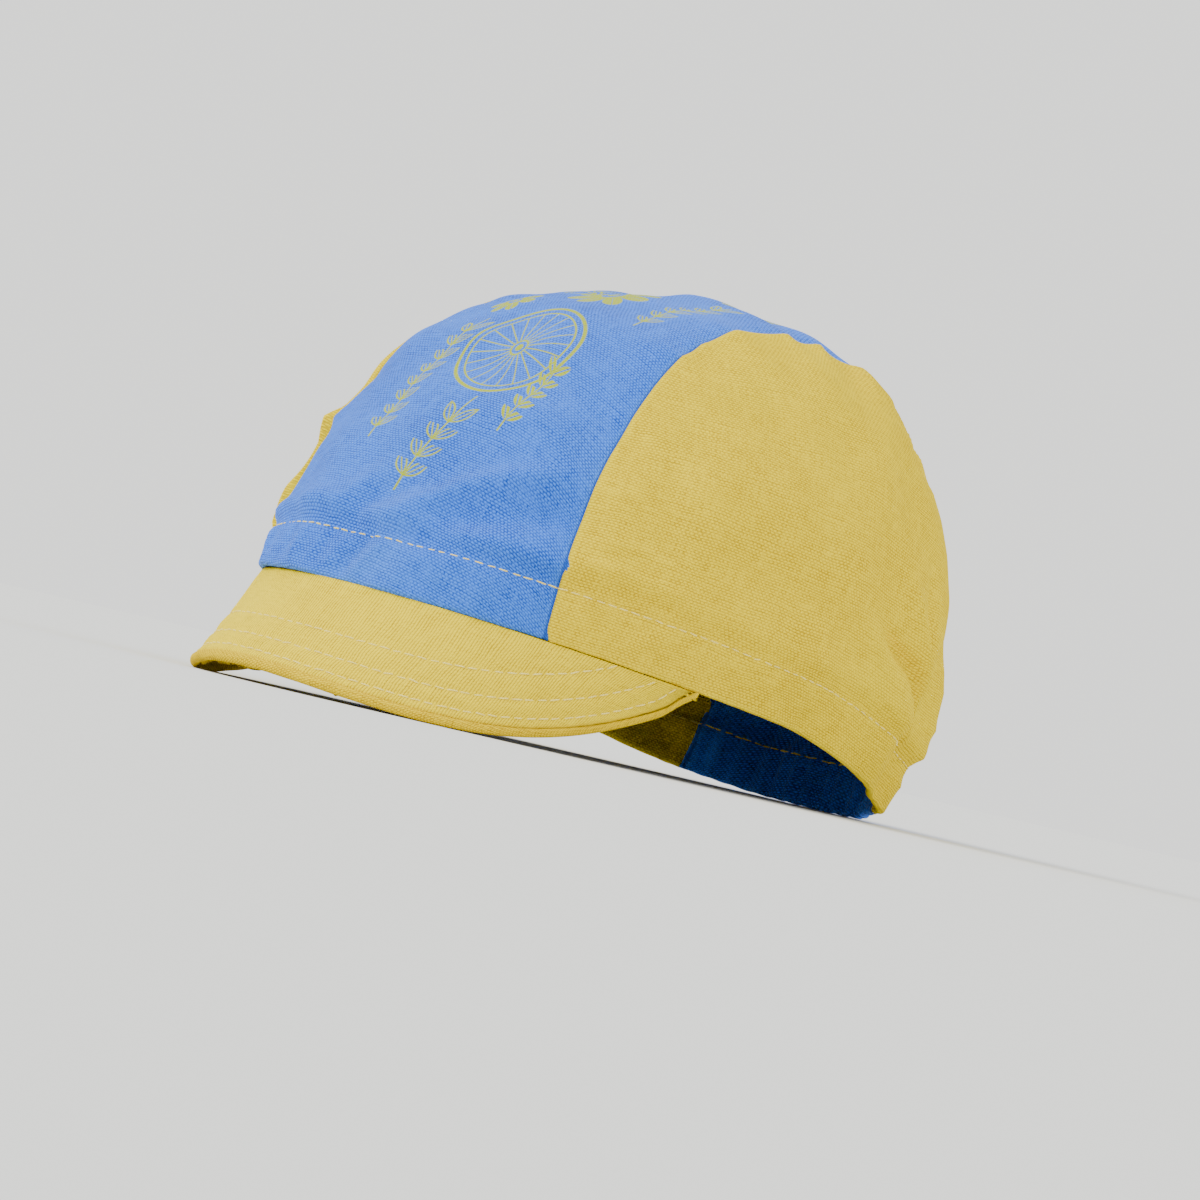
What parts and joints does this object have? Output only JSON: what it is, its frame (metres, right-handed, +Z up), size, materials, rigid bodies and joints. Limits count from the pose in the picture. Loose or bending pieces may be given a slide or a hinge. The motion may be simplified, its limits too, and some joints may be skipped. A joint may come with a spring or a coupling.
{
  "type": "cycling cap",
  "caption": "Soft cotton cycling cap with a contrasting centre panel running front to back, yellow side panels, a turned stitched hem and a short curved peak.",
  "frame": {"origin": "centre of the cap's footprint, on the surface that the peak's edge and the back of the hem rest on", "axes": "+Z up as the cap rests; +Y towards the back of the cap; +X towards the wearer's left"},
  "size_m": [0.1672, 0.2174, 0.1263],
  "materials": {
    "blue_canvas": "matte plain-weave cotton canvas, printed",
    "yellow_canvas": "matte plain-weave cotton canvas"
  },
  "bodies": {
    "root": {"crown_centre_panel": "blue_canvas", "crown_left_panel": "yellow_canvas", "crown_right_panel": "yellow_canvas", "peak_top": "yellow_canvas", "peak_underside": "yellow_canvas"}
  },
  "joints": []
}
